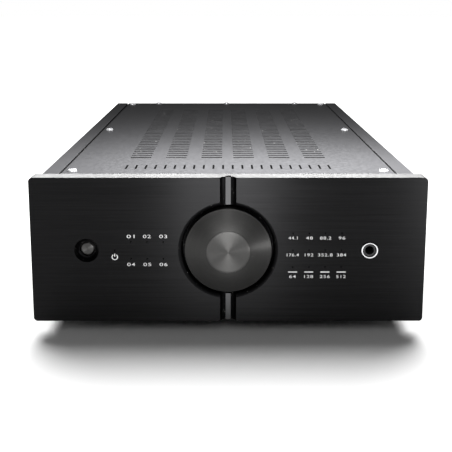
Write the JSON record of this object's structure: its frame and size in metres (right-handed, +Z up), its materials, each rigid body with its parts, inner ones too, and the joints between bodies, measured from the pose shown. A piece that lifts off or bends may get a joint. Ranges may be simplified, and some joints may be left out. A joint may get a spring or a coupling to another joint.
{
  "type": "desktop dac",
  "caption": "Wide black desktop audio converter: thick front plate, large central volume knob in a round recess, vertical inlaid strip, power button, headphone socket and a vented case.",
  "frame": {"origin": "on the ground under the middle of the part's box", "axes": "+Z up, the front plate and knob face -Y, +X is to the right when looking at the front"},
  "size_m": [0.28, 0.4052, 0.1188],
  "materials": {
    "anodised_black": "fine brushed, anodised",
    "turned_black": "turned, anodised",
    "polished_strip": "polished",
    "powder_black": "fine texture powder coat",
    "plain_steel": "plain",
    "screw_steel": "bright",
    "screw_black": "black oxide",
    "chrome": "bright",
    "gilt": "plated",
    "black_plastic": "moulded",
    "white_plastic": "moulded",
    "clear_plastic": "clear",
    "fuse_glass": "clear",
    "rubber": "matt",
    "board": "solder mask",
    "winding": "enamelled wire",
    "capacitor": "sleeved",
    "sink": "anodised",
    "ribbon": "flat cable"
  },
  "bodies": {
    "case": {"front_panel": "anodised_black", "groove_strip_upper": "polished_strip", "groove_strip_lower": "polished_strip", "front_bulkhead": "plain_steel", "fascia_screws": "screw_steel", "light_pipes": "clear_plastic", "indicator_board": "board", "encoder_housing": "black_plastic", "encoder_nut": "screw_steel", "power_switch": "black_plastic", "headphone_jack": "black_plastic", "headphone_ring": "chrome", "side_left": "powder_black", "side_right": "powder_black", "base_plate": "powder_black", "rear_panel": "powder_black", "top_cover": "powder_black", "cover_screws": "screw_steel", "base_screws": "screw_black", "rear_screws": "screw_black", "feet": "turned_black", "foot_pads": "rubber", "foot_screws": "screw_steel", "mains_inlet": "black_plastic", "mains_pins": "screw_steel", "xlr_out_shells": "powder_black", "xlr_out_pins": "gilt", "aes_shell": "powder_black", "aes_insert": "black_plastic", "phono_shells": "gilt", "phono_inserts": "white_plastic", "connector_screws": "screw_black", "usb_shell": "screw_steel", "usb_tongue": "white_plastic", "optical_socket": "black_plastic", "aerial_jack": "gilt", "main_board": "board", "power_transformer": "winding", "transformer_clamp": "plain_steel", "smoothing_capacitors": "capacitor", "heat_sinks": "sink", "input_board": "board", "board_standoffs": "gilt", "board_screws": "screw_steel", "ribbon_cable": "ribbon"},
    "knob": {"volume_knob": "turned_black", "encoder_shaft": "screw_steel"},
    "button": {"power_button": "turned_black", "switch_plunger": "white_plastic"},
    "rocker": {"rocker_switch": "black_plastic"},
    "drawer": {"fuse_drawer": "black_plastic", "mains_fuse": "fuse_glass"},
    "latch": {"aes_latch": "screw_steel"},
    "flap": {"optical_flap": "black_plastic"},
    "aerial_base": {"aerial_collar": "black_plastic", "aerial_pin": "screw_steel"},
    "aerial_arm": {"aerial_rod": "black_plastic"}
  },
  "joints": [
    {"name": "knob_turn", "type": "hinge", "parent": "case", "child": "knob", "pos_m": [0, -0.19855, 0.065], "axis": [0, -1, 0], "continuous": true},
    {"name": "power_button_press", "type": "slide", "parent": "case", "child": "button", "axis": [0, 1, 0], "range_m": [0, 0.0015], "stiffness_N_per_m": 1200, "springref_m": -0.0015},
    {"name": "mains_rocker_tip", "type": "hinge", "parent": "case", "child": "rocker", "pos_m": [-0.105, 0.17945, 0.0755], "axis": [0, 0, -1], "range_deg": [0, 16]},
    {"name": "fuse_drawer_slide", "type": "slide", "parent": "case", "child": "drawer", "axis": [0, 1, 0], "range_m": [0, 0.018]},
    {"name": "aes_latch_press", "type": "slide", "parent": "case", "child": "latch", "axis": [0, -1, 0], "range_m": [0, 0.0018], "stiffness_N_per_m": 800, "springref_m": -0.001},
    {"name": "optical_flap_lift", "type": "hinge", "parent": "case", "child": "flap", "pos_m": [0.034, 0.18265, 0.0514], "axis": [-1, 0, 0], "range_deg": [0, 80], "stiffness_Nm_per_rad": 0.0006, "springref_deg": -28.65},
    {"name": "aerial_swivel", "type": "hinge", "parent": "case", "child": "aerial_base", "pos_m": [0.095, 0.18845, 0.098], "axis": [0, 1, 0], "range_deg": [0, 180]},
    {"name": "aerial_tilt", "type": "hinge", "parent": "aerial_base", "child": "aerial_arm", "pos_m": [0.095, 0.19845, 0.098], "axis": [0, 0, -1], "range_deg": [0, 90]}
  ]
}
